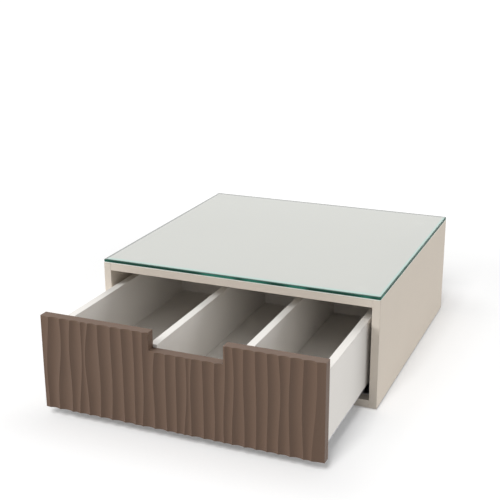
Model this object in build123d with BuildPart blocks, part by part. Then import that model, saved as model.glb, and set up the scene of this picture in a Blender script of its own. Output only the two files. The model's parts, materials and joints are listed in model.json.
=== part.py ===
from build123d import *

import os
from math import sin

# Low coffee capsule cabinet with one pull-out drawer, in millimetres.
# X runs along the front, +Y towards the back and +Z up.
# The origin is the centre of the footprint with the drawer at rest, on the floor.

# Cabinet
cabinet_width = 340.0
cabinet_depth = 330.0
board_height = 128.0
board = 9.0
edge_arris = 0.5
foot_thick = 2.0
foot_radius = 8.0
foot_inset_x = 25.0
foot_inset_y = 20.0
back_thick = 3.0
back_inset = 6.0
groove_depth = 4.0
groove_play = 0.1

# Glass top and the clear discs that hold it
glass_thick = 4.0
glass_arris = 0.6
glass_corner = 1.5
disc_radius = 7.0
disc_thick = 1.0
disc_play = 0.2
disc_inset = 30.0

# Drawer front
front_gap = 1.5
front_thick = 12.0
left_hollow_widths = (5, 15, 14, 13, 7, 15, 15, 14, 13, 10, 13, 13, 12)
right_hollow_widths = (11, 6, 13, 13, 11, 9, 12, 13, 12, 13, 10, 14, 12, 12)
hollow_share = 0.13
hollow_facets = 6
ridge_sway = 1.1
sway_step = 1.56
sway_turn = 5.0
edge_lean = 4.0
section_count = 6
notch_width = 84.0
notch_depth = 20.0
notch_centre = 11.0

# Drawer box
side_gap = 5.0
under_gap = 15.0
side_height = 77.0
box_board = 9.0
bottom_recess = 12.0
bottom_thick = 4.0
left_divider_x = -31.0
right_divider_x = 63.0
bumper_radius = 4.0
bumper_thick = 2.7
bumper_gap = 0.3
bumper_spread = 120.0
bumper_drop = 22.0

# Travel: how far out the drawer stands at rest, and how far it can come
rest_opening = 150.0
full_travel = 285.0

# Slide rails
rail_length = 300.0
rail_setback = 1.5
sheet = 1.2
bend = 1.4
track_half = 12.0
lip_reach = 5.0
lip_play = 0.4
flange_play = 0.4
web = 2.4
wall_flange_height = 14.0
roller_radius = 2.0
roller_length = 14.0
roller_count = 5
roller_play = 0.1
pocket_play = 0.2
cage_thick = 2.0
cage_play = 0.5
cage_margin = 10.0
tab_width = 14.0
tab_play = 0.3

# Fixings. Pins and their holes are drawn with flats, which keeps the mesh light.
pin_sides = 12
round_sides = 24
dowel_radius = 2.5
dowel_length = 24.0
dowel_in_face = 6.0
dowel_end_play = 0.2
fixing_play = 0.1
carcass_dowel_inset = 40.0
screw_radius = 1.5
screw_head_radius = 3.0
screw_head_height = 1.6
rail_screw_bite = 6.0
side_screw_bite = 8.8
back_screw_bite = 12.0
rail_screw_inset = 35.0
back_screw_spread = 90.0
dowel_edge_inset = 15.0

# Planes and heights that follow from the sizes above
front_y = -(cabinet_depth - rest_opening) / 2
rear_y = front_y + cabinet_depth
outer_half = cabinet_width / 2
inner_half = outer_half - board
floor_z = foot_thick + board
body_top = foot_thick + board_height
roof_z = body_top - board
back_y = rear_y - back_inset - back_thick
drawer_y = front_y - rest_opening
drawer_back_of_front = drawer_y + front_thick
front_half = inner_half - front_gap
front_bottom = floor_z + front_gap
front_top = roof_z - front_gap
hollow_widths = left_hollow_widths + right_hollow_widths
front_height = front_top - front_bottom
notch_floor = front_top - notch_depth
box_half = inner_half - side_gap
box_inner_half = box_half - box_board
side_bottom = floor_z + under_gap
box_top = side_bottom + side_height
panel_z = side_bottom + bottom_recess
well_z = panel_z + bottom_thick
box_end = back_y - bumper_gap - bumper_thick - rest_opening
box_back_y = box_end - box_board
rail_x = box_inner_half - track_half
rail_y = front_y + front_thick + rail_setback

# Heights in the stack of rails, rollers and middle rail
lower_roller_z = floor_z + sheet + roller_play + roller_radius
lower_flange_z = lower_roller_z + roller_radius + roller_play
upper_roller_z = panel_z - sheet - roller_play - roller_radius
upper_flange_top = upper_roller_z - roller_radius - roller_play
lower_lip_top = lower_flange_z + sheet + lip_play + sheet
upper_lip_bottom = upper_flange_top - sheet - lip_play - sheet
lip_half_gap = track_half - sheet - lip_reach
flange_half = track_half - sheet - flange_play
cage_half = track_half - sheet - cage_play
cage_length = rail_length - full_travel / 2 - 2 * (sheet + tab_play)
cage_y = rail_y + sheet + tab_play + full_travel / 4

low_corner = (Align.MIN, Align.MIN, Align.MIN)
right = Vector(1, 0, 0)
back = Vector(0, 1, 0)
up = Vector(0, 0, 1)

os.makedirs("parts", exist_ok=True)


def save(piece, name):
    piece.part.label = name
    export_step(piece.part, f"parts/{name}.step")


def block(low, high, mode=Mode.ADD):
    """A box between two opposite corners, added to the part being built."""
    with Locations(low):
        Box(high[0] - low[0], high[1] - low[1], high[2] - low[2], align=low_corner, mode=mode)


def add_pins(starts, along, radius, length, sides=pin_sides, mode=Mode.ADD):
    """Pins, or holes for them, that start at the given points and run along one direction."""
    for start in starts:
        with BuildSketch(Plane(origin=start, z_dir=along)) as outline:
            RegularPolygon(radius, sides)
        extrude(outline.sketch, amount=length, mode=mode)


def drill(mouths, outward, radius, depth, sides=pin_sides):
    """Holes whose mouths lie on a face with the given outward normal."""
    add_pins(mouths, -outward, radius, depth, sides, Mode.SUBTRACT)


def seat_dowels_in_face(mouths, outward):
    """Holes for the short end of each dowel, in the piece that shows its face."""
    drill(mouths, outward, dowel_radius + fixing_play, dowel_in_face + dowel_end_play)


def seat_dowels_in_edge(mouths, outward):
    """Holes for the long end of each dowel, in the piece that shows its edge."""
    long_end = dowel_length - dowel_in_face + dowel_end_play
    drill(mouths, outward, dowel_radius + fixing_play, long_end)


def add_dowels(mouths, into_edge):
    """Dowels across a joint, from the face piece into the edge piece."""
    starts = [Vector(*mouth) - into_edge * dowel_in_face for mouth in mouths]
    add_pins(starts, into_edge, dowel_radius, dowel_length)


def add_screws(seats, into, length):
    """Pan-head screws whose heads lie on a face and whose shanks run into it."""
    add_pins(seats, into, screw_radius, length)
    add_pins(seats, -into, screw_head_radius, screw_head_height)


# Cabinet joints: mouths of the dowel holes on the right and left inner faces
dowel_ys = [front_y + carcass_dowel_inset, rear_y - carcass_dowel_inset]
dowel_zs = [floor_z - board / 2, roof_z + board / 2]
right_carcass_mouths = [(inner_half, y, z) for y in dowel_ys for z in dowel_zs]
left_carcass_mouths = [(-inner_half, y, z) for y in dowel_ys for z in dowel_zs]
bottom_right_mouths = [mouth for mouth in right_carcass_mouths if mouth[2] < floor_z]
bottom_left_mouths = [mouth for mouth in left_carcass_mouths if mouth[2] < floor_z]
top_right_mouths = [mouth for mouth in right_carcass_mouths if mouth[2] > roof_z]
top_left_mouths = [mouth for mouth in left_carcass_mouths if mouth[2] > roof_z]

# Cabinet rail screws: seats on the wall flange of the right rail
rail_screw_ys = [rail_y + rail_screw_inset, rail_y + rail_length / 2, rail_y + rail_length - rail_screw_inset]
flange_screw_z = floor_z + (wall_flange_height + bend) / 2
right_flange_seats = [(inner_half - sheet, y, flange_screw_z) for y in rail_screw_ys]
right_wall_pilots = [(inner_half, y, flange_screw_z) for y in rail_screw_ys]

# Right side panel of the cabinet, with the stopped groove of the back panel
with BuildPart() as right_panel:
    block((inner_half, front_y, foot_thick), (outer_half, rear_y, body_top))
    outer_edges = right_panel.faces().sort_by(Axis.X)[-1].edges()
    chamfer(outer_edges, edge_arris)
    block(
        (inner_half, back_y - groove_play, floor_z - groove_depth),
        (inner_half + groove_depth, back_y + back_thick + groove_play, roof_z + groove_depth),
        mode=Mode.SUBTRACT,
    )
    seat_dowels_in_face(right_carcass_mouths, -right)
    drill(right_wall_pilots, -right, screw_radius + fixing_play, rail_screw_bite + dowel_end_play)
save(right_panel, "right_panel")

with BuildPart() as left_panel:
    mirror(right_panel.part, about=Plane.YZ)
save(left_panel, "left_panel")

# Bottom panel between the sides, grooved for the back panel
with BuildPart() as bottom_panel:
    block((-inner_half, front_y, foot_thick), (inner_half, rear_y, floor_z))
    block(
        (-inner_half, back_y - groove_play, floor_z - groove_depth),
        (inner_half, back_y + back_thick + groove_play, floor_z),
        mode=Mode.SUBTRACT,
    )
    seat_dowels_in_edge(bottom_right_mouths, right)
    seat_dowels_in_edge(bottom_left_mouths, -right)
save(bottom_panel, "bottom_panel")

# Top panel between the sides, grooved below and pocketed above for the clear discs
disc_spots = [
    (x, y, body_top - disc_thick)
    for x in (-outer_half + disc_inset, outer_half - disc_inset)
    for y in (front_y + disc_inset, rear_y - disc_inset)
]
disc_mouths = [(x, y, body_top) for x, y, z in disc_spots]
with BuildPart() as top_panel:
    block((-inner_half, front_y, roof_z), (inner_half, rear_y, body_top))
    block(
        (-inner_half, back_y - groove_play, roof_z),
        (inner_half, back_y + back_thick + groove_play, roof_z + groove_depth),
        mode=Mode.SUBTRACT,
    )
    seat_dowels_in_edge(top_right_mouths, right)
    seat_dowels_in_edge(top_left_mouths, -right)
    drill(disc_mouths, up, disc_radius + disc_play, disc_thick, round_sides)
save(top_panel, "top_panel")

# Thin back panel held in the grooves of all four boards
with BuildPart() as back_panel:
    reach = groove_depth - 2 * groove_play
    block(
        (-inner_half - reach, back_y, floor_z - reach),
        (inner_half + reach, back_y + back_thick, roof_z + reach),
    )
save(back_panel, "back_panel")

with BuildPart() as carcass_dowels:
    add_dowels(right_carcass_mouths, -right)
    add_dowels(left_carcass_mouths, right)
save(carcass_dowels, "carcass_dowels")

# Tempered glass plate, flush with the cabinet all round
with BuildPart() as glass_top:
    block((-outer_half, front_y, body_top), (outer_half, rear_y, body_top + glass_thick))
    fillet(glass_top.edges().filter_by(Axis.Z), glass_corner)
    flat_faces = glass_top.faces().filter_by(Axis.Z)
    chamfer(flat_faces.edges(), glass_arris)
save(glass_top, "glass_top")

with BuildPart() as glass_discs:
    add_pins(disc_spots, up, disc_radius, disc_thick, round_sides)
save(glass_discs, "glass_discs")

# Four round pads under the bottom panel
foot_spots = [
    (x, y, 0)
    for x in (-outer_half + foot_inset_x, outer_half - foot_inset_x)
    for y in (front_y + foot_inset_y, rear_y - foot_inset_y)
]
with BuildPart() as foot_pads:
    add_pins(foot_spots, up, foot_radius, foot_thick, round_sides)
save(foot_pads, "foot_pads")

# Joints of the drawer box
side_dowel_zs = [well_z + dowel_edge_inset, box_top - dowel_edge_inset]
board_mid = box_half - box_board / 2
front_side_mouths = [(x, drawer_back_of_front, z) for x in (-board_mid, board_mid) for z in side_dowel_zs]
front_divider_mouths = [
    (x, drawer_back_of_front, z) for x in (left_divider_x, right_divider_x) for z in side_dowel_zs
]
back_divider_mouths = [(x, box_back_y, z) for x in (left_divider_x, right_divider_x) for z in side_dowel_zs]
back_mid = box_end - box_board / 2
right_back_mouths = [(box_inner_half, back_mid, z) for z in side_dowel_zs]
left_back_mouths = [(-box_inner_half, back_mid, z) for z in side_dowel_zs]
drawer_rail_y = rail_y - rest_opening
side_screw_ys = [y - rest_opening for y in rail_screw_ys]
right_side_pilots = [(board_mid, y, side_bottom) for y in side_screw_ys]
right_foot_seats = [(board_mid, y, side_bottom - sheet) for y in side_screw_ys]
back_screw_seats = [(x, back_mid, panel_z) for x in (-back_screw_spread, 0, back_screw_spread)]


# Carved front. Hollows lie side by side in its face and meet in sharp ridges that reach the front
# plane. Each is as deep as a fixed share of its width. The ridges sway as they climb the board, and
# near the ends they lean as well.
def ridge_x(index, share):
    if index in (0, len(hollow_widths)):
        return -front_half if index == 0 else front_half
    straight = sum(hollow_widths[:index]) / sum(hollow_widths) * 2 * front_half - front_half
    sway = ridge_sway * sin(sway_step * index + sway_turn * share)
    lean = edge_lean * (straight / front_half) ** 2 * (share - 0.5)
    return straight + sway + lean


def hollow_points(start, end):
    """Points along a hollow's curve, from just after its left ridge to its right one."""
    points = []
    for facet in range(1, hollow_facets + 1):
        u = facet / hollow_facets
        dip = 4 * hollow_share * (end - start) * u * (1 - u)
        points.append((start + u * (end - start), drawer_y + dip))
    return points


with BuildPart() as drawer_front:
    for section in range(section_count + 1):
        share = section / section_count
        outline = [
            (front_half, drawer_back_of_front),
            (-front_half, drawer_back_of_front),
            (-front_half, drawer_y),
        ]
        for hollow in range(len(hollow_widths)):
            outline += hollow_points(ridge_x(hollow, share), ridge_x(hollow + 1, share))
        with BuildSketch(Plane.XY.offset(front_bottom + share * front_height)):
            with BuildLine():
                Polyline(*outline, close=True)
            make_face()
    loft(ruled=True)
    block(
        (notch_centre - notch_width / 2, drawer_y, notch_floor),
        (notch_centre + notch_width / 2, drawer_back_of_front, front_top),
        mode=Mode.SUBTRACT,
    )
    block(
        (-box_inner_half - groove_depth, drawer_back_of_front - groove_depth, panel_z - groove_play),
        (box_inner_half + groove_depth, drawer_back_of_front, well_z + groove_play),
        mode=Mode.SUBTRACT,
    )
    seat_dowels_in_face(front_side_mouths + front_divider_mouths, back)
save(drawer_front, "drawer_front")

# Right side of the drawer box, grooved for the bottom panel
with BuildPart() as drawer_right_side:
    block((box_inner_half, drawer_back_of_front, side_bottom), (box_half, box_end, box_top))
    block(
        (box_inner_half, drawer_back_of_front, panel_z - groove_play),
        (box_inner_half + groove_depth, box_end, well_z + groove_play),
        mode=Mode.SUBTRACT,
    )
    seat_dowels_in_edge([mouth for mouth in front_side_mouths if mouth[0] > 0], -back)
    seat_dowels_in_face(right_back_mouths, -right)
    drill(right_side_pilots, -up, screw_radius + fixing_play, side_screw_bite + dowel_end_play)
save(drawer_right_side, "drawer_right_side")

with BuildPart() as drawer_left_side:
    mirror(drawer_right_side.part, about=Plane.YZ)
save(drawer_left_side, "drawer_left_side")

# Thin bottom panel, let into the front and both sides
with BuildPart() as drawer_bottom:
    reach = groove_depth - 2 * groove_play
    block(
        (-box_inner_half - reach, drawer_back_of_front - reach, panel_z),
        (box_inner_half + reach, box_end, well_z),
    )
    drill(back_screw_seats, -up, screw_radius + fixing_play, bottom_thick)
save(drawer_bottom, "drawer_bottom")

# Back board, standing on the bottom panel between the sides
with BuildPart() as drawer_back:
    block((-box_inner_half, box_back_y, well_z), (box_inner_half, box_end, box_top))
    seat_dowels_in_edge(right_back_mouths, right)
    seat_dowels_in_edge(left_back_mouths, -right)
    seat_dowels_in_face(back_divider_mouths, -back)
    pilot_mouths = [(x, y, well_z) for x, y, z in back_screw_seats]
    drill(pilot_mouths, -up, screw_radius + fixing_play, back_screw_bite + dowel_end_play)
save(drawer_back, "drawer_back")

# Two lengthways dividers that stand on the bottom panel
divider_spots = {"left_divider": left_divider_x, "right_divider": right_divider_x}
for divider_name, divider_x in divider_spots.items():
    with BuildPart() as divider:
        block(
            (divider_x - box_board / 2, drawer_back_of_front, well_z),
            (divider_x + box_board / 2, box_back_y, box_top),
        )
        seat_dowels_in_edge([mouth for mouth in front_divider_mouths if mouth[0] == divider_x], -back)
        seat_dowels_in_edge([mouth for mouth in back_divider_mouths if mouth[0] == divider_x], back)
    save(divider, divider_name)

with BuildPart() as front_dowels:
    add_dowels(front_side_mouths + front_divider_mouths, back)
save(front_dowels, "front_dowels")

with BuildPart() as back_dowels:
    add_dowels(right_back_mouths, -right)
    add_dowels(left_back_mouths, right)
    add_dowels(back_divider_mouths, -back)
save(back_dowels, "back_dowels")

# Screws up through the bottom panel into the back board
with BuildPart() as back_board_screws:
    add_screws(back_screw_seats, up, bottom_thick + back_screw_bite)
save(back_board_screws, "back_board_screws")

# Soft stops on the back of the drawer, which meet the back panel when it closes
bumper_spots = [(x, box_end, box_top - bumper_drop) for x in (-bumper_spread, bumper_spread)]
with BuildPart() as closing_bumpers:
    add_pins(bumper_spots, back, bumper_radius, bumper_thick, round_sides)
save(closing_bumpers, "closing_bumpers")


# Slide rails. Each is folded from sheet: the points run along the outside of the fold.
def add_folded(points, inside, start_y):
    """Extrudes a folded sheet profile, drawn on the X-Z plane, along the rail."""
    with BuildSketch(Plane.XZ.offset(-start_y)) as profile:
        with BuildLine():
            FilletPolyline(*points, radius=bend)
            offset(amount=sheet, side=inside)
        make_face()
    extrude(profile.sketch, amount=-rail_length)


def add_tab(y, low_z, high_z):
    """A stop tab across the rail, one sheet thick."""
    block((rail_x - tab_width / 2, y, low_z), (rail_x + tab_width / 2, y + sheet, high_z))


with BuildPart() as right_cabinet_rail:
    add_folded(
        [
            (rail_x - lip_half_gap, lower_lip_top),
            (rail_x - track_half, lower_lip_top),
            (rail_x - track_half, floor_z),
            (rail_x + track_half, floor_z),
            (rail_x + track_half, lower_lip_top),
            (rail_x + lip_half_gap, lower_lip_top),
        ],
        Side.LEFT,
        rail_y,
    )
    add_folded(
        [(rail_x, floor_z), (inner_half, floor_z), (inner_half, floor_z + wall_flange_height)],
        Side.LEFT,
        rail_y,
    )
    add_tab(rail_y, floor_z + sheet, lower_flange_z - tab_play)
    drill(right_flange_seats, -right, screw_radius + fixing_play, sheet)
save(right_cabinet_rail, "right_cabinet_rail")

with BuildPart() as right_drawer_rail:
    foot_z = side_bottom - sheet
    add_folded(
        [
            (rail_x - lip_half_gap, upper_lip_bottom),
            (rail_x - track_half, upper_lip_bottom),
            (rail_x - track_half, panel_z),
            (box_inner_half, panel_z),
            (box_inner_half, foot_z),
        ],
        Side.RIGHT,
        drawer_rail_y,
    )
    block(
        (rail_x + lip_half_gap, drawer_rail_y, upper_lip_bottom),
        (box_inner_half, drawer_rail_y + rail_length, upper_lip_bottom + sheet),
    )
    block(
        (box_inner_half - sheet, drawer_rail_y, foot_z),
        (box_half, drawer_rail_y + rail_length, side_bottom),
    )
    add_tab(drawer_rail_y + rail_length - sheet, upper_flange_top + tab_play, panel_z - sheet)
    drill(right_foot_seats, -up, screw_radius + fixing_play, sheet)
save(right_drawer_rail, "right_drawer_rail")

# Middle rail, an I section that rolls in both tracks
middle_y = rail_y - rest_opening / 2
with BuildPart() as right_middle_rail:
    low_flange = (rail_x - flange_half, middle_y, lower_flange_z)
    block(low_flange, (rail_x + flange_half, middle_y + rail_length, lower_flange_z + sheet))
    low_web = (rail_x - web / 2, middle_y, lower_flange_z + sheet)
    block(low_web, (rail_x + web / 2, middle_y + rail_length, upper_flange_top - sheet))
    high_flange = (rail_x - flange_half, middle_y, upper_flange_top - sheet)
    block(high_flange, (rail_x + flange_half, middle_y + rail_length, upper_flange_top))
    add_tab(middle_y + rail_length - sheet, floor_z + sheet + tab_play, lower_flange_z)
    add_tab(middle_y, upper_flange_top, panel_z - sheet - tab_play)
save(right_middle_rail, "right_middle_rail")


def build_cage(start_y, roller_z):
    """The roller cage strip of one track, and its rollers."""
    gap = (cage_length - 2 * cage_margin) / (roller_count - 1)
    centres = [start_y + cage_margin + gap * number for number in range(roller_count)]
    pocket_x = roller_length / 2 + pocket_play
    pocket_y = roller_radius + pocket_play
    low = roller_z - cage_thick / 2
    high = roller_z + cage_thick / 2
    with BuildPart() as cage:
        block((rail_x - cage_half, start_y, low), (rail_x + cage_half, start_y + cage_length, high))
        for y in centres:
            block(
                (rail_x - pocket_x, y - pocket_y, low),
                (rail_x + pocket_x, y + pocket_y, high),
                mode=Mode.SUBTRACT,
            )
    with BuildPart() as rollers:
        starts = [(rail_x - roller_length / 2, y, roller_z) for y in centres]
        add_pins(starts, right, roller_radius, roller_length, round_sides)
    return cage, rollers


# The cages move at half the difference between the rails that they run in
lower_cage, lower_rollers = build_cage(cage_y - rest_opening / 4, lower_roller_z)
upper_cage, upper_rollers = build_cage(cage_y - rest_opening * 3 / 4, upper_roller_z)

with BuildPart() as right_cabinet_rail_screws:
    add_screws(right_flange_seats, right, sheet + rail_screw_bite)

with BuildPart() as right_drawer_rail_screws:
    add_screws(right_foot_seats, up, sheet + side_screw_bite)

save(lower_cage, "right_lower_cage")
save(lower_rollers, "right_lower_rollers")
save(upper_cage, "right_upper_cage")
save(upper_rollers, "right_upper_rollers")

# The left slide mirrors the right one
left_pieces = {
    "left_cabinet_rail": right_cabinet_rail,
    "left_drawer_rail": right_drawer_rail,
    "left_middle_rail": right_middle_rail,
    "left_lower_cage": lower_cage,
    "left_lower_rollers": lower_rollers,
    "left_upper_cage": upper_cage,
    "left_upper_rollers": upper_rollers,
}
for left_name, right_piece in left_pieces.items():
    with BuildPart() as left_piece:
        mirror(right_piece.part, about=Plane.YZ)
    save(left_piece, left_name)

# The screws of both slides, one node for each kind
screw_pairs = {
    "cabinet_rail_screws": right_cabinet_rail_screws,
    "drawer_rail_screws": right_drawer_rail_screws,
}
for screws_name, right_screws in screw_pairs.items():
    with BuildPart() as both_sides:
        add(right_screws.part)
        mirror(right_screws.part, about=Plane.YZ)
    save(both_sides, screws_name)
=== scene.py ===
import json
import math

import bpy
from mathutils import Matrix, Vector

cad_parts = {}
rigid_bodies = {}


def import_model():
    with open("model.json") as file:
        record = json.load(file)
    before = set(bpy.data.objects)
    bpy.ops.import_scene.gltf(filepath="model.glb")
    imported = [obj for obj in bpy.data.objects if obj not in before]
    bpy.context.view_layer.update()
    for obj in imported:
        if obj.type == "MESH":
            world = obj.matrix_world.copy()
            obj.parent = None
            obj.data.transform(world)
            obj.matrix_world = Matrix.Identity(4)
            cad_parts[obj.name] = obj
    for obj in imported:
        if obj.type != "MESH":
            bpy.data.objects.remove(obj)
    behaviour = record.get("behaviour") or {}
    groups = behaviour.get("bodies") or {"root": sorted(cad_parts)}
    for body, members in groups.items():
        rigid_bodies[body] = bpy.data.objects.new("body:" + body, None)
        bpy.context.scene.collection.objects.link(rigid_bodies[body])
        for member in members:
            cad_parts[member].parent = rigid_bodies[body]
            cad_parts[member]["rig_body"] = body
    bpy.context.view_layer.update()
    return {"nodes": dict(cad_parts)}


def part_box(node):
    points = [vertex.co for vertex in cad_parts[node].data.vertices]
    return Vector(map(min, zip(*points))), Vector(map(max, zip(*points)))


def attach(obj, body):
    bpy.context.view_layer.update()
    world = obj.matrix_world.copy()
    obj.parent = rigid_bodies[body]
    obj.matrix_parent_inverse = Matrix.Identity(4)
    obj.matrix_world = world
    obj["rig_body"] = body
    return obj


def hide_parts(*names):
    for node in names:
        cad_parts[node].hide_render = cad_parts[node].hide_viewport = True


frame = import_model()
nodes = frame["nodes"]
print("frame loaded:", len(nodes), "nodes")

axisNumber = {"X": 0, "Y": 1, "Z": 2}
directions = {  # shares of an axis in a direction of length 1
    "along": 0.9,
    "across": 0.1,
    "exact": 0.9999,
}
hair = 1e-6  # points nearer than this are one point
millimetres = 1000  # in a metre


class Wire:  # wraps one shader socket, so that shader maths reads as plain sums
    def __init__(self, tree, socket=None):
        self.tree = tree
        self.socket = socket

    def node(self, kind, inputs=None, output=0, **settings):
        made = self.tree.nodes.new(kind)
        for key, value in settings.items():
            setattr(made, key, value)
        for key, value in (inputs or {}).items():
            self.plug(made.inputs[key], value)
        return Wire(self.tree, made.outputs[output])

    def plug(self, socket, value):
        if isinstance(value, Wire):
            self.tree.links.new(value.socket, socket)
        else:
            socket.default_value = value

    def maths(self, operation, *values):
        return self.node("ShaderNodeMath", dict(enumerate(values)), operation=operation)

    def __add__(self, other):
        return self.maths("ADD", self, other)

    def __radd__(self, other):
        return self.maths("ADD", other, self)

    def __sub__(self, other):
        return self.maths("SUBTRACT", self, other)

    def __rsub__(self, other):
        return self.maths("SUBTRACT", other, self)

    def __mul__(self, other):
        return self.maths("MULTIPLY", self, other)

    def __rmul__(self, other):
        return self.maths("MULTIPLY", other, self)

    def __lt__(self, other):
        return self.maths("LESS_THAN", self, other)

    def __abs__(self):
        return self.maths("ABSOLUTE", self)


def tint(colour, amount=1.0):  # the colour made darker or lighter, with full alpha
    return tuple(min(1.0, part * amount) for part in colour) + (1.0,)


def around(middle, spread):
    return middle - spread, middle + spread


class Finish:  # one Principled material under construction
    def __init__(self, name, **constants):
        self.material = bpy.data.materials.new(name)
        self.material.use_nodes = True
        self.tree = self.material.node_tree
        self.shader = self.tree.nodes["Principled BSDF"]
        self.start = Wire(self.tree)
        self.place = self.start.node("ShaderNodeTexCoord", output="Object")
        for socket, value in constants.items():
            self.shader.inputs[socket.replace("_", " ")].default_value = value

    def stretched(self, x, y, z):  # the place with some directions drawn out
        return self.start.node("ShaderNodeMapping", {"Vector": self.place, "Scale": (x, y, z)})

    def noise(self, scale, detail=2.0, place=None):
        inputs = {"Vector": place or self.place, "Scale": scale, "Detail": detail}
        return self.start.node("ShaderNodeTexNoise", inputs, output="Fac")

    def along(self, axis):
        return self.start.node("ShaderNodeSeparateXYZ", {"Vector": self.place}, output=axis)

    def blend(self, factor, low, high):
        inputs = {0: factor, 6: low, 7: high}
        return self.start.node("ShaderNodeMix", inputs, output=2, data_type="RGBA")

    def fade(self, value, low, high):  # 0 below low, 1 above high, smooth between
        inputs = {"Value": value, "From Min": low, "From Max": high}
        return self.start.node("ShaderNodeMapRange", inputs, interpolation_type="SMOOTHSTEP")

    def set(self, socket, value):
        self.start.plug(self.shader.inputs[socket], value)

    def roughen(self, pattern, least, more):
        self.set("Roughness", least + pattern * more)

    def bump(self, height, strength, distance):
        inputs = {"Height": height, "Strength": strength, "Distance": distance}
        self.set("Normal", self.start.node("ShaderNodeBump", inputs))


coating = {
    "cashmere": (0.683, 0.617, 0.539),
    "white": (0.800, 0.775, 0.738),
    "roughness": (0.70, 0.10),  # least, and how much its pattern adds
    "shine": 0.0,
    "mottle": 0.018,  # how far the tone wanders
    "cloud": (14.0, 3.0),  # scale and detail
    "peelScale": 900.0,  # the coating's fine grain
    "peelBump": (0.12, 0.00005),  # strength and depth
    "band": 0.0008,  # thickness of an edge band
    "seam": 0.0001,  # half the hairline beside a band
    "seamTone": 0.86,
}


def coatedBoard(name, colour, seams):  # smooth board with a hairline beside each edge band
    finish = Finish(name, Specular_IOR_Level=coating["shine"])
    cloud = finish.noise(*coating["cloud"])
    darker, lighter = around(1, coating["mottle"])
    tone = finish.blend(cloud, tint(colour, darker), tint(colour, lighter))
    for axis, spot in seams:
        line = abs(finish.along(axis) - spot) < coating["seam"]
        tone = finish.blend(line, tone, tint(colour, coating["seamTone"]))
    finish.set("Base Color", tone)
    finish.roughen(cloud, *coating["roughness"])
    finish.bump(finish.noise(coating["peelScale"]), *coating["peelBump"])
    return finish.material


foil = {
    "dark": (0.110, 0.0645, 0.0405),
    "light": (0.123, 0.0725, 0.0460),
    "roughness": (0.45, 0.10),
    "shine": 0.4,
    "cloud": (22.0, 4.0),
    "grainScale": 1500.0,
    "grainBump": (0.14, 0.00005),
}


def brownFoil():  # matte foil drawn over the carving
    finish = Finish("brownFoil", Specular_IOR_Level=foil["shine"])
    cloud = finish.noise(*foil["cloud"])
    finish.set("Base Color", finish.blend(cloud, tint(foil["dark"]), tint(foil["light"])))
    finish.roughen(cloud, *foil["roughness"])
    finish.bump(finish.noise(foil["grainScale"]), *foil["grainBump"])
    return finish.material


fibreBoard = {
    "dark": (0.235, 0.150, 0.085),
    "light": (0.375, 0.255, 0.150),
    "even": (0.28, 0.185, 0.108),  # the tone that its clouds lean to
    "evenShare": 0.35,
    "fibres": (260.0, 4.0),
    "fibreStretch": (1.0, 1.0, 0.35),
    "cloud": (9.0, 2.0),
    "roughness": (0.5, 0.2),
    "bump": (0.25, 0.0001),
}


def hardboard():  # pressed fibres with a smooth brown face
    finish = Finish("hardboard")
    fibres = finish.noise(*fibreBoard["fibres"], finish.stretched(*fibreBoard["fibreStretch"]))
    cloud = finish.noise(*fibreBoard["cloud"])
    tone = finish.blend(fibres, tint(fibreBoard["dark"]), tint(fibreBoard["light"]))
    even = cloud * fibreBoard["evenShare"]
    finish.set("Base Color", finish.blend(even, tone, tint(fibreBoard["even"])))
    finish.roughen(fibres, *fibreBoard["roughness"])
    finish.bump(fibres, *fibreBoard["bump"])
    return finish.material


dowelWood = {
    "dark": (0.50, 0.33, 0.18),
    "light": (0.66, 0.48, 0.30),
    "grain": (700.0, 3.0),
    "grainStretch": (0.08, 1.0, 1.0),
    "roughness": (0.5, 0.2),
    "bump": (0.3, 0.0001),
}


def beech():  # dowels with their grain along them
    finish = Finish("beech")
    grain = finish.noise(*dowelWood["grain"], finish.stretched(*dowelWood["grainStretch"]))
    finish.set("Base Color", finish.blend(grain, tint(dowelWood["dark"]), tint(dowelWood["light"])))
    finish.roughen(grain, *dowelWood["roughness"])
    finish.bump(grain, *dowelWood["bump"])
    return finish.material


steel = {
    "dark": (0.56, 0.57, 0.59),
    "light": (0.66, 0.67, 0.69),
    "spangleScale": 260.0,
    "lines": (2500.0, 2.0),
    "lineStretch": (1.0, 0.02, 1.0),
    "roughness": (0.28, 0.08),  # least, and how much the spangle and the lines add
    "bump": (0.08, 0.00003),
}


def zincSteel():  # rolled steel with a faint spangle and drawing lines
    finish = Finish("zincSteel", Metallic=1.0)
    inputs = {"Vector": finish.place, "Scale": steel["spangleScale"]}
    spangle = finish.start.node("ShaderNodeTexVoronoi", inputs, output="Color")
    shade = finish.start.node("ShaderNodeSeparateColor", {"Color": spangle})
    lines = finish.noise(*steel["lines"], finish.stretched(*steel["lineStretch"]))
    finish.set("Base Color", finish.blend(shade, tint(steel["dark"]), tint(steel["light"])))
    least, more = steel["roughness"]
    finish.set("Roughness", least + shade * more + lines * more)
    finish.bump(lines, *steel["bump"])
    return finish.material


mouldedSkin = {
    "speckScale": 1200.0,
    "cloudScale": 60.0,
    "mottle": 0.05,
    "spread": 0.1,  # how much the specks add to the roughness
    "bump": (0.2, 0.00005),
}


def moulded(name, colour, roughness, alpha=1.0):  # moulded plastic, rubber or silicone
    finish = Finish(name, Alpha=alpha)
    speck = finish.noise(mouldedSkin["speckScale"])
    cloud = finish.noise(mouldedSkin["cloudScale"])
    darker, lighter = around(1, mouldedSkin["mottle"])
    finish.set("Base Color", finish.blend(cloud, tint(colour, darker), tint(colour, lighter)))
    finish.roughen(speck, roughness, mouldedSkin["spread"])
    finish.bump(speck, *mouldedSkin["bump"])
    return finish.material


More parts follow.
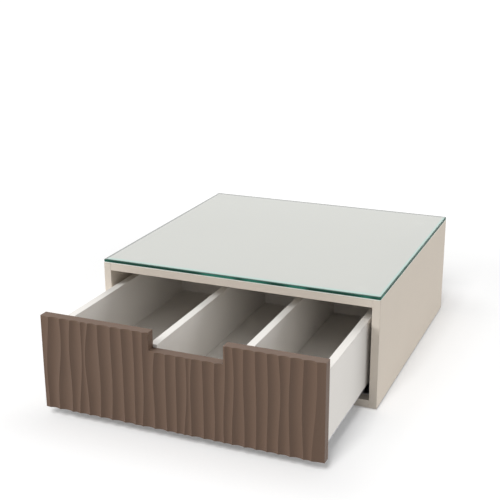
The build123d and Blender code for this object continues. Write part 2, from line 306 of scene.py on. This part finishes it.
glass = {
    "body": (0.676, 0.686, 0.646),
    "mottle": 0.015,
    "cloud": (7.0, 2.0),
    "glow": (0.55, 0.73, 0.67),  # painted light: a pale band painted beside the near edges
    "glowReach": (0.002925, 0.0045),  # where the band starts to fade and where it has gone
    "dark": (0.030, 0.100, 0.075),  # painted reflection: the near edges' dark green, painted as seen down through the face
    "darkReach": (0.00084, 0.0014),
    "rim": (0.37, 0.38, 0.37),  # painted shade: a dark line painted beside the far edges, as seen down through the face
    "rimReach": (0.00245, 0.0035),
    "frontShare": 0.5,  # distances from the front and the back count for less,
    "backShare": 0.7,  # so that the bands are wider along these two edges
    "faceRoughness": 0.03,
    "alpha": 0.80,
    "ior": 1.52,
    "edgeShine": 0.02,
    "edgeRoughness": 0.15,
    "deepGreen": (0.018, 0.065, 0.047),
    "brightGreen": (0.040, 0.200, 0.145),
    "patches": (30.0, 1.0),
    "patchFade": (0.45, 0.7),
    "pale": (0.92, 1.0, 0.96),  # painted highlight along the edge's lowest part
    "paintedFootLightFade": (0.00063, 0.00117),
    "arris": 0.0004,
    "arrisDark": (0.030, 0.095, 0.072),
    "arrisLight": (0.050, 0.130, 0.100),
    "arrisRoughness": 0.4,
    "grainScale": 1800.0,
    "corner": 0.0015,
    "cornerSteps": 5,
    "faceIndex": 0,
    "edgeIndex": 1,
    "arrisIndex": 2,
}


def glassFace(low, high):  # tinted plate, with painted light by its near edges and painted shade by its far ones
    finish = Finish("glassFace", Alpha=glass["alpha"], Roughness=glass["faceRoughness"],
                    IOR=glass["ior"])
    x, y = finish.along("X"), finish.along("Y")
    nearest = finish.start.maths
    near = nearest("MINIMUM", high[0] - x, (y - low[1]) * glass["frontShare"])
    far = nearest("MINIMUM", x - low[0], (high[1] - y) * glass["backShare"])
    darker, lighter = around(1, glass["mottle"])
    cloud = finish.noise(*glass["cloud"])
    tone = finish.blend(cloud, tint(glass["body"], darker), tint(glass["body"], lighter))
    # painted light and painted reflection beside the near edges, painted shade beside the far ones
    for band, distance in (("glow", near), ("dark", near), ("rim", far)):
        share = 1 - finish.fade(distance, *glass[band + "Reach"])
        tone = finish.blend(share, tone, tint(glass[band]))
    finish.set("Base Color", tone)
    return finish.material


def glassEdge(low):  # dark green, seen through the length of the plate, with a painted highlight along its foot
    finish = Finish("glassEdge", Roughness=glass["edgeRoughness"],
                    Specular_IOR_Level=glass["edgeShine"])
    patches = finish.fade(finish.noise(*glass["patches"]), *glass["patchFade"])
    green = finish.blend(patches, tint(glass["deepGreen"]), tint(glass["brightGreen"]))
    # painted highlight: the edge turns pale towards its foot
    foot = 1 - finish.fade(finish.along("Z"), *(low[2] + rise for rise in glass["paintedFootLightFade"]))
    finish.set("Base Color", finish.blend(foot, green, tint(glass["pale"])))
    return finish.material


def glassArris():  # the fine ground bevel round the plate
    finish = Finish("glassArris", Roughness=glass["arrisRoughness"],
                    Specular_IOR_Level=glass["edgeShine"])
    grain = finish.noise(glass["grainScale"])
    colours = tint(glass["arrisDark"]), tint(glass["arrisLight"])
    finish.set("Base Color", finish.blend(grain, *colours))
    return finish.material


finishes = {
    "brown_board": brownFoil(),
    "hardboard": hardboard(),
    "beech": beech(),
    "zinc_steel": zincSteel(),
    "clear_silicone": moulded("clearSilicone", (0.80, 0.80, 0.78), 0.30, 0.35),
    "dark_rubber": moulded("darkRubber", (0.022, 0.022, 0.022), 0.70),
    "cage_plastic": moulded("cagePlastic", (0.78, 0.78, 0.75), 0.45),
    "roller_plastic": moulded("rollerPlastic", (0.84, 0.82, 0.76), 0.35),
}
print("finishes made")


def runsAlong(way, axis):
    return abs(way[axisNumber[axis]]) > directions["along"]


def runsAcross(way, axis):
    return abs(way[axisNumber[axis]]) < directions["across"]


def deselectAll():
    if bpy.context.object and bpy.context.object.mode != "OBJECT":
        bpy.ops.object.mode_set(mode="OBJECT")
    bpy.ops.object.select_all(action="DESELECT")


def takeHold(obj):
    deselectAll()
    obj.select_set(True)
    bpy.context.view_layer.objects.active = obj


def enterEdit(obj, kind):  # edit mode with nothing selected
    takeHold(obj)
    bpy.ops.object.mode_set(mode="EDIT")
    bpy.ops.mesh.select_mode(type=kind)
    bpy.ops.mesh.select_all(action="DESELECT")


def leaveEdit():
    bpy.ops.object.mode_set(mode="OBJECT")


def pickEdges(obj, test):  # test takes an edge's middle and direction
    enterEdit(obj, "EDGE")
    leaveEdit()
    for edge in obj.data.edges:
        a, b = (obj.data.vertices[i].co for i in edge.vertices)
        edge.select = bool(test((a + b) / 2, (b - a).normalized()))
    bpy.ops.object.mode_set(mode="EDIT")


def pickFaces(obj, test):  # test takes a face's centre and normal
    enterEdit(obj, "FACE")
    leaveEdit()
    for face in obj.data.polygons:
        face.select = bool(test(face.center, face.normal))
    bpy.ops.object.mode_set(mode="EDIT")


def named(name):  # the new primitive, with its place in its mesh
    made = bpy.context.object
    made.name = made.data.name = name
    bpy.ops.object.transform_apply(location=True, rotation=True, scale=True)
    return made


def addBlock(name, low, high):
    deselectAll()
    size = [h - l for l, h in zip(low, high)]
    middle = [(h + l) / 2 for l, h in zip(low, high)]
    bpy.ops.mesh.primitive_cube_add(size=1, location=middle, scale=size)
    return named(name)


def addRound(name, low, high, axis, sides=48):
    deselectAll()
    middle = [(h + l) / 2 for l, h in zip(low, high)]
    length = high[axisNumber[axis]] - low[axisNumber[axis]]
    across = axisNumber["X"] if axis != "X" else axisNumber["Z"]
    turn = {"X": (0, math.pi / 2, 0), "Y": (math.pi / 2, 0, 0), "Z": (0, 0, 0)}[axis]
    radius = (high[across] - low[across]) / 2
    bpy.ops.mesh.primitive_cylinder_add(
        vertices=sides, radius=radius, depth=length, location=middle, rotation=turn
    )
    return named(name)


def bevelEdges(obj, width, segments, test):
    pickEdges(obj, test)
    bpy.ops.mesh.bevel(offset=width, segments=segments, profile=0.5, affect="EDGES")
    leaveEdit()


def cutWith(obj, cutter, keep=False):
    takeHold(obj)
    cut = obj.modifiers.new("Cut", "BOOLEAN")
    cut.object = cutter
    cut.operation = "DIFFERENCE"
    cut.solver = "EXACT"
    bpy.ops.object.modifier_apply(modifier=cut.name)
    if not keep:
        bpy.data.objects.remove(cutter)


def smooth(obj, degrees=35):
    takeHold(obj)
    bpy.ops.object.shade_smooth_by_angle(angle=math.radians(degrees))


def flatten(obj, *axes):  # level faces keep one shade right up to their rounded edges
    numbers = [axisNumber[axis] for axis in axes]
    exact = directions["exact"]
    pickFaces(obj, lambda middle, way: any(abs(way[i]) > exact for i in numbers))
    bpy.ops.mesh.faces_shade_flat()
    leaveEdit()


def copyOf(obj):  # with a mesh of its own
    twin = obj.copy()
    twin.data = obj.data.copy()
    bpy.context.scene.collection.objects.link(twin)
    return twin


def settle(obj, place):  # moves it there, with its place in its mesh
    obj.matrix_world = place
    takeHold(obj)
    bpy.ops.object.transform_apply(location=True, rotation=True, scale=True)


def joinPieces(name, pieces):
    deselectAll()
    for piece in pieces:
        piece.select_set(True)
    bpy.context.view_layer.objects.active = pieces[0]
    bpy.ops.object.join()
    joined = bpy.context.object
    joined.name = joined.data.name = name
    return joined


def camel(node):
    first, *others = node.split("_")
    return first + "".join(part.title() for part in others)


def dress(piece, node, slotName, *coats):  # the piece takes over from the CAD node
    if coats:
        piece.data.materials.clear()
    for coat in coats:
        piece.data.materials.append(coat)
    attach(piece, nodes[node]["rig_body"])
    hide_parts(node)


def solidsOf(node):  # lowest and highest corner of each separate solid of a CAD node
    leaders = {}

    def leaderOf(spot):
        while leaders[spot] != spot:
            spot = leaders[spot]
        return spot

    mesh = nodes[node].data
    digits = 6  # whole micrometres
    spots = [tuple(round(part, digits) for part in vertex.co) for vertex in mesh.vertices]
    for spot in spots:
        leaders.setdefault(spot, spot)
    for face in mesh.polygons:
        first, *others = (leaderOf(spots[i]) for i in face.vertices)
        for other in others:
            leaders[leaderOf(other)] = leaderOf(first)
    groups = {}
    for spot in leaders:
        groups.setdefault(leaderOf(spot), []).append(spot)
    return sorted([[pick(parts) for parts in zip(*group)] for pick in (min, max)]
                  for group in groups.values())


boards = {
    "round": 0.0003,  # eased edges
    "steps": 3,
    "cashmere": ("left_panel", "right_panel", "top_panel", "bottom_panel"),
    "white": (
        "drawer_left_side", "drawer_right_side", "drawer_back", "left_divider", "right_divider",
    ),
}


def makeBoard(node):
    low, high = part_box(node)
    board = addBlock(camel(node), low, high)
    bevelEdges(board, boards["round"], boards["steps"], lambda middle, way: True)
    return board


def makeBoards():
    backPanel = makeBoard("back_panel")
    smooth(backPanel)
    flatten(backPanel, "X", "Y", "Z")
    discs = [addRound("discSeat", low, high, "Z") for low, high in solidsOf("glass_discs")]
    drawerBottom = makeBoard("drawer_bottom")
    made = {"drawer_bottom": drawerBottom}
    for node in boards["cashmere"]:
        made[node] = makeBoard(node)
        cutWith(made[node], backPanel, keep=True)  # the back panel's groove
    for disc in discs:
        cutWith(made["top_panel"], disc)  # flush seats for the discs under the glass
    for node in boards["white"]:
        made[node] = makeBoard(node)
        if node in ("drawer_left_side", "drawer_right_side"):
            cutWith(made[node], drawerBottom, keep=True)  # the drawer bottom's groove
    dress(backPanel, "back_panel", "hardboard", finishes["hardboard"])
    for node, board in made.items():
        smooth(board)
        flatten(board, "X", "Y", "Z")
        low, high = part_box(node)
        if node in boards["cashmere"]:
            seams = [("Y", low[1] + coating["band"]), ("Y", high[1] - coating["band"])]
            coat = coatedBoard(board.name, coating["cashmere"], seams)
            dress(board, node, "cashmere_board", coat)
        else:
            seams = [] if node == "drawer_bottom" else [("Z", high[2] - coating["band"])]
            dress(board, node, "white_board", coatedBoard(board.name, coating["white"], seams))


makeBoards()
print("boards done")


def makeGlass():
    low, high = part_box("glass_top")
    plate = addBlock("glassPlate", low, high)
    bevelEdges(plate, glass["corner"], glass["cornerSteps"],
               lambda middle, way: runsAlong(way, "Z"))
    centreZ, quarter = (low[2] + high[2]) / 2, (high[2] - low[2]) / 4
    bevelEdges(plate, glass["arris"], 1,
               lambda middle, way: runsAcross(way, "Z") and abs(middle.z - centreZ) > quarter)
    dress(plate, "glass_top", "top_glass", glassFace(low, high), glassEdge(low), glassArris())
    for face in plate.data.polygons:
        if runsAlong(face.normal, "Z"):
            face.material_index = glass["faceIndex"]
        else:
            upper = face.normal.z > directions["across"]
            face.material_index = glass["arrisIndex" if upper else "edgeIndex"]


makeGlass()
print("glass done")


carving = {
    # A scratch script fitted the ridges' numbers to points read by eye in zooms of the photo.
    "ridges": (  # place across the front, lean, bow and swing of each ridge, in mm
        (-153.0, 5.6, -1.5, 0.1), (-138.4, 6.3, 0.4, 1.4), (-124.7, 3.0, -0.5, -1.0),
        (-112.3, 6.6, 1.2, 0.3), (-104.4, 3.6, -1.9, -1.2), (-89.7, 1.1, 0.6, -0.5),
        (-75.1, 2.6, 0.7, -0.5), (-61.4, -0.4, 0.2, 0.1), (-48.1, 0.5, 0.2, 0.2),
        (-38.1, 3.0, 0.7, -0.4), (-24.4, 5.0, -1.7, -0.8), (-11.6, 0.2, -0.2, 0.1),
        (0.4, 1.9, -0.3, -0.3), (10.9, 3.3, 1.2, -0.2), (17.5, 3.9, -1.2, -0.4),
        (30.3, -0.7, 0.2, -0.1), (43.4, 2.5, -0.5, -0.6), (53.9, 1.8, 0.1, 0.7),
        (63.1, 1.2, 0.8, 0.6), (75.0, -0.8, -0.2, -0.4), (87.8, -0.7, 0.5, -0.2),
        (100.0, 0.1, 0.6, 0.2), (112.3, 0.0, 1.1, 0.6), (123.3, -0.2, -0.8, 0.0),
        (137.0, -0.9, -0.9, 0.1), (149.1, 4.2, 0.8, 0.5),
    ),
    "bowTurn": 5.0,  # radians of bow over the height
    "deepest": 0.0019,
    "share": 0.13,  # depth of a hollow as a share of its width
    "columns": 16,  # faces across one hollow
    "rows": 60,
    "edgeRound": 0.0005,
    "edgeSteps": 4,
    "notch": (-0.031, 0.053, 0.0995),  # left, right and floor
    "notchEase": 0.0004,
    "smoothAngle": 38,
}


def ridgeX(index, share, half):
    if index in (0, len(carving["ridges"]) + 1):
        return -half if index == 0 else half
    place, lean, bow, swing = carving["ridges"][index - 1]
    middle = share - 0.5
    bend = bow * math.cos(carving["bowTurn"] * middle) + swing * math.sin(2 * math.pi * middle)
    return (place + lean * middle + bend) / millimetres


def rowLevels(low, high):  # height, share of the height and set-back of each row
    radius, steps, rows = carving["edgeRound"], carving["edgeSteps"], carving["rows"]
    turns = [math.pi / 2 * k / steps for k in range(steps + 1)]
    curve = [(radius * (1 - math.sin(t)), radius * (1 - math.cos(t))) for t in turns]
    span = high - low - 2 * radius
    levels = [(low + rise, inset) for rise, inset in reversed(curve)]
    levels += [(low + radius + span * k / rows, 0.0) for k in range(1, rows)]
    levels += [(high - drop, inset) for drop, inset in curve]
    return [(z, (z - low) / (high - low), inset) for z, inset in levels]


def cutAlong(obj, point, way):
    enterEdit(obj, "EDGE")
    bpy.ops.mesh.select_all(action="SELECT")
    bpy.ops.mesh.bisect(plane_co=point, plane_no=way)
    leaveEdit()


def carveWaves(sheet, low, high, across, tall):  # moves a grid's points into the hollows
    half = (high[0] - low[0]) / 2
    columns = carving["columns"]
    levels, last = rowLevels(low[2], high[2]), across // columns - 1
    for vertex in sheet.data.vertices:
        column, row = round((vertex.co.x + 0.5) * across), round((vertex.co.y + 0.5) * tall)
        hollow = min(column // columns, last)
        u = (column - hollow * columns) / columns
        z, share, inset = levels[row]
        start, end = ridgeX(hollow, share, half), ridgeX(hollow + 1, share, half)
        dip = 4 * u * (1 - u)
        if hollow in (0, last):  # the outer two are cut off at their deepest
            dip = 1 - u * u if hollow == 0 else u * (2 - u)
        y = low[1] + dip * min(carving["deepest"], carving["share"] * (end - start))
        vertex.co = (start + u * (end - start), y + inset, z)


def cutNotch(sheet):
    left, right, floor = carving["notch"]
    ease = carving["notchEase"]
    for x in (left - ease, left, right, right + ease):
        cutAlong(sheet, (x, 0, 0), (1, 0, 0))
    for z in (floor - ease, floor):
        cutAlong(sheet, (0, 0, z), (0, 0, 1))
    pickFaces(sheet, lambda middle, way: left < middle.x < right and middle.z > floor)
    bpy.ops.mesh.delete(type="FACE")
    leaveEdit()
    for vertex in sheet.data.vertices:
        x, _, z = vertex.co
        onSide = z > floor - hair and min(abs(x - left), abs(x - right)) < hair
        onFloor = left - hair < x < right + hair and abs(z - floor) < hair
        if onSide or onFloor:
            vertex.co.y += ease  # the notch's rim is eased


def makeFront():
    low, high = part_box("drawer_front")
    across = (len(carving["ridges"]) + 1) * carving["columns"]
    tall = len(rowLevels(low[2], high[2])) - 1
    deselectAll()
    bpy.ops.mesh.primitive_grid_add(x_subdivisions=across, y_subdivisions=tall, size=1)
    front = named("carvedFront")
    carveWaves(front, low, high, across, tall)
    cutNotch(front)
    enterEdit(front, "EDGE")
    bpy.ops.mesh.select_non_manifold(extend=False)
    bpy.ops.mesh.extrude_edges_move(TRANSFORM_OT_translate={"value": (0, high[1] - low[1], 0)})
    bpy.ops.transform.resize(value=(1, 0, 1), center_override=(0, high[1], 0))
    bpy.ops.mesh.edge_face_add()
    bpy.ops.mesh.select_all(action="SELECT")
    bpy.ops.mesh.normals_make_consistent(inside=False)
    leaveEdit()
    smooth(front, carving["smoothAngle"])
    flatten(front, "X", "Z")
    dress(front, "drawer_front", "brown_board", finishes["brown_board"])


makeFront()
print("carved front done")


rounds = {
    "steps": 3,
    "nodes": {  # slot, axis and edge round
        "foot_pads": ("dark_rubber", "Z", 0.0004),
        "glass_discs": ("clear_silicone", "Z", 0.0002),
        "closing_bumpers": ("clear_silicone", "Y", 0.0009),
        "left_lower_rollers": ("roller_plastic", "X", 0.0003),
        "left_upper_rollers": ("roller_plastic", "X", 0.0003),
        "right_lower_rollers": ("roller_plastic", "X", 0.0003),
        "right_upper_rollers": ("roller_plastic", "X", 0.0003),
    },
}


def makeRounds(node, slotName, axis, edge):
    (low, high), *others = solidsOf(node)
    pattern = addRound(camel(node), low, high, axis)
    bevelEdges(pattern, edge, rounds["steps"], lambda middle, way: runsAcross(way, axis))
    made = [pattern]
    for place, _ in others:
        twin = copyOf(pattern)
        settle(twin, Matrix.Translation(Vector(place) - Vector(low)))
        made.append(twin)
    whole = joinPieces(camel(node), made)
    smooth(whole)
    dress(whole, node, slotName, finishes[slotName])


for node, plan in rounds["nodes"].items():
    makeRounds(node, *plan)
print("pads, discs, bumpers and rollers done")


screws = {
    "headRadius": 0.003,
    "headHeight": 0.0016,
    "shankRadius": 0.0015,
    "dome": 0.0011,
    "slotLength": 0.0034,
    "slotWidth": 0.0006,
    "slotDepth": 0.0009,
    "length": 0.010,
    "sides": 32,
    "domeSteps": 5,
    "nodes": ("cabinet_rail_screws", "drawer_rail_screws", "back_board_screws"),
}


def makeScrew():  # its pan head starts at the origin, with the shank up along Z
    radius, height = screws["headRadius"], screws["headHeight"]
    corners = (-radius, -radius, 0), (radius, radius, height)
    head = addRound("screw", *corners, "Z", screws["sides"])
    bevelEdges(head, screws["dome"], screws["domeSteps"],
               lambda middle, way: middle.z < height / 2 and runsAcross(way, "Z"))
    pickFaces(head, lambda middle, way: way.z > directions["along"])
    bpy.ops.mesh.inset(thickness=radius - screws["shankRadius"])
    bpy.ops.mesh.extrude_region_move(TRANSFORM_OT_translate={"value": (0, 0, screws["length"])})
    leaveEdit()
    reach, half, depth = screws["slotLength"] / 2, screws["slotWidth"] / 2, screws["slotDepth"]
    for low, high in (((-reach, -half), (reach, half)), ((-half, -reach), (half, reach))):
        cutWith(head, addBlock("slotCutter", low + (-depth,), high + (depth,)))
    smooth(head)
    return head


def placeScrews(pattern, node):
    made = []
    for low, high in solidsOf(node):
        middle = [(h + l) / 2 for l, h in zip(low, high)]
        if high[0] - low[0] > high[2] - low[2]:  # driven sideways into a cabinet side
            away = 1 if middle[0] > 0 else -1
            headX = low[0] if away > 0 else high[0]
            place = Matrix.Translation((headX, middle[1], middle[2]))
            place @= Matrix.Rotation(away * math.pi / 2, 4, "Y")
            length = high[0] - low[0]
        else:
            place = Matrix.Translation((middle[0], middle[1], low[2]))
            length = high[2] - low[2]
        twin = copyOf(pattern)
        for vertex in twin.data.vertices:
            if vertex.co.z > screws["length"] / 2:
                vertex.co.z = length
        settle(twin, place)
        made.append(twin)
    whole = joinPieces(camel(node), made)
    dress(whole, node, "zinc_steel", finishes["zinc_steel"])


screwPattern = makeScrew()
for node in screws["nodes"]:
    placeScrews(screwPattern, node)
bpy.data.objects.remove(screwPattern)
print("screws done")


refined = {
    "smoothAngle": 32,
    "nodes": {
        "zinc_steel": (
            "left_cabinet_rail", "right_cabinet_rail", "left_middle_rail", "right_middle_rail",
            "left_drawer_rail", "right_drawer_rail",
        ),
        "cage_plastic": (
            "left_lower_cage", "right_lower_cage", "left_upper_cage", "right_upper_cage",
        ),
        "beech": ("carcass_dowels", "front_dowels", "back_dowels"),
    },
}


def refine(node, slotName):  # the CAD piece merged, with its bends shaded round
    piece = copyOf(nodes[node])
    piece.name = piece.data.name = camel(node)
    enterEdit(piece, "VERT")
    bpy.ops.mesh.select_all(action="SELECT")
    bpy.ops.mesh.remove_doubles(threshold=hair)
    leaveEdit()
    smooth(piece, refined["smoothAngle"])
    dress(piece, node, slotName, finishes[slotName])


for slotName, members in refined["nodes"].items():
    for node in members:
        refine(node, slotName)
print("rails, cages and dowels done")


studio = {
    "floorSize": 14.0,
    "floorTone": 0.90,
    "glow": 1.1,  # strength of the plain white mixed into the floor
    "glowShare": (0.19, 0.55),  # its share under the object and beside it, all white far away
    "footprint": (0.17, 0.24, 0.0),  # half the object's width and length
    "glowFades": ((0.0, 0.10), (0.16, 0.45)),  # distances over which these shares change
    "world": 0.415,
    "aim": (0.0, -0.05, 0.07),
    "lamps": {
        "key": {"spot": (-3.39, -2.12, 2.18), "size": 2.2, "power": 160.0, "onFloor": False},
        "back": {"spot": (1.35, 3.00, 3.00), "size": 2.6, "power": 106.0, "onFloor": False},
        "low": {"spot": (0.95, 3.90, 1.30), "size": 1.6, "power": 86.0, "onFloor": False},
        "floorLamp": {"spot": (0.22, -2.2, 2.2), "size": 1.0, "power": 73.0, "onFloor": True},
    },
}


def makeFloor():
    deselectAll()
    bpy.ops.mesh.primitive_plane_add(size=studio["floorSize"])
    ground = named("floor")
    material = bpy.data.materials.new("studioFloor")
    material.use_nodes = True
    tree = material.node_tree
    tree.nodes.remove(tree.nodes["Principled BSDF"])
    start = Wire(tree)

    def vectorMaths(operation, *values, output=0):
        inputs = dict(enumerate(values))
        return start.node("ShaderNodeVectorMath", inputs, output=output, operation=operation)

    def fadeOver(low, high):
        inputs = {"Value": distance, "From Min": low, "From Max": high}
        return start.node("ShaderNodeMapRange", inputs, interpolation_type="SMOOTHSTEP")

    seen = start.node("ShaderNodeLightPath", output="Is Camera Ray")
    white, grey = tint((1, 1, 1)), tint((1, 1, 1), studio["floorTone"])
    glow = start.node("ShaderNodeEmission", {"Color": white, "Strength": studio["glow"]})
    place = start.node("ShaderNodeTexCoord", output="Object")
    beyond = vectorMaths("SUBTRACT", vectorMaths("ABSOLUTE", place), studio["footprint"])
    distance = vectorMaths("LENGTH", vectorMaths("MAXIMUM", beyond, (0, 0, 0)), output="Value")
    beside, away = (fadeOver(low, high) for low, high in studio["glowFades"])
    least, middle = studio["glowShare"]
    share = least + beside * (middle - least) + away * (1 - middle)
    inputs = {0: beside * seen, 6: grey, 7: white}
    colour = start.node("ShaderNodeMix", inputs, output=2, data_type="RGBA")
    diffuse = start.node("ShaderNodeBsdfDiffuse", {"Color": colour})
    mixed = start.node("ShaderNodeMixShader", {0: share * seen, 1: diffuse, 2: glow})
    tree.links.new(mixed.socket, tree.nodes["Material Output"].inputs["Surface"])
    ground.data.materials.append(material)


def makeWorld():
    world = bpy.data.worlds.new("studioWorld")
    bpy.context.scene.world = world
    world.use_nodes = True
    start = Wire(world.node_tree)
    direct = start.node("ShaderNodeLightPath", output="Is Camera Ray")
    for ray in ("Is Glossy Ray", "Is Transmission Ray"):
        direct = direct.maths("MAXIMUM", direct, start.node("ShaderNodeLightPath", output=ray))
    background = world.node_tree.nodes["Background"]
    background.inputs["Color"].default_value = (1, 1, 1, 1)
    start.plug(background.inputs["Strength"], studio["world"] + direct * (1 - studio["world"]))


def makeLamps():
    aim = Vector(studio["aim"])
    for name, plan in studio["lamps"].items():
        data = bpy.data.lights.new(name, "AREA")
        data.shape = "SQUARE"
        data.size = plan["size"]
        data.energy = plan["power"]
        lamp = bpy.data.objects.new(name, data)
        bpy.context.scene.collection.objects.link(lamp)
        lamp.location = plan["spot"]
        lamp.rotation_euler = (aim - Vector(plan["spot"])).to_track_quat("-Z", "Y").to_euler()
        lit = bpy.data.collections.new(name + "Lights")  # the floor has a lamp of its own
        lit.objects.link(bpy.data.objects["floor"])
        link = lit.collection_objects[0].light_linking
        link.link_state = "INCLUDE" if plan["onFloor"] else "EXCLUDE"
        lamp.light_linking.receiver_collection = lit


makeFloor()
makeWorld()
makeLamps()
print("studio lit")


view = {  # between two fits of the camera to corners and edges in the photo
    "azimuth": 0.3992,  # radians round from the front, towards the right
    "elevation": 0.3184,
    "roll": -0.0045,
    "distance": 1.0800,
    "target": (0.01925, -0.090, 0.16871),
    "focal": 973.6,  # in pixels of the 500 pixel picture
    "picture": 500.0,
    "sensor": 36.0,
    "clip": (0.01, 50),
}


def makeCamera():
    data = bpy.data.cameras.new("photoView")
    camera = bpy.data.objects.new("photoView", data)
    bpy.context.scene.collection.objects.link(camera)
    azimuth, elevation, roll = view["azimuth"], view["elevation"], view["roll"]
    flat = math.cos(elevation)
    out = Vector((math.sin(azimuth) * flat, -math.cos(azimuth) * flat, math.sin(elevation)))
    level = (-out).cross(Vector((0, 0, 1))).normalized()
    upright = level.cross(-out)
    right = level * math.cos(roll) + upright * math.sin(roll)
    up = upright * math.cos(roll) - level * math.sin(roll)
    place = Matrix((right, up, out)).transposed().to_4x4()
    place.translation = Vector(view["target"]) + out * view["distance"]
    camera.matrix_world = place
    data.sensor_width = view["sensor"]
    data.lens = view["focal"] / view["picture"] * view["sensor"]
    data.clip_start, data.clip_end = view["clip"]
    bpy.context.scene.camera = camera


makeCamera()
bpy.context.scene.view_settings.view_transform = "Standard"
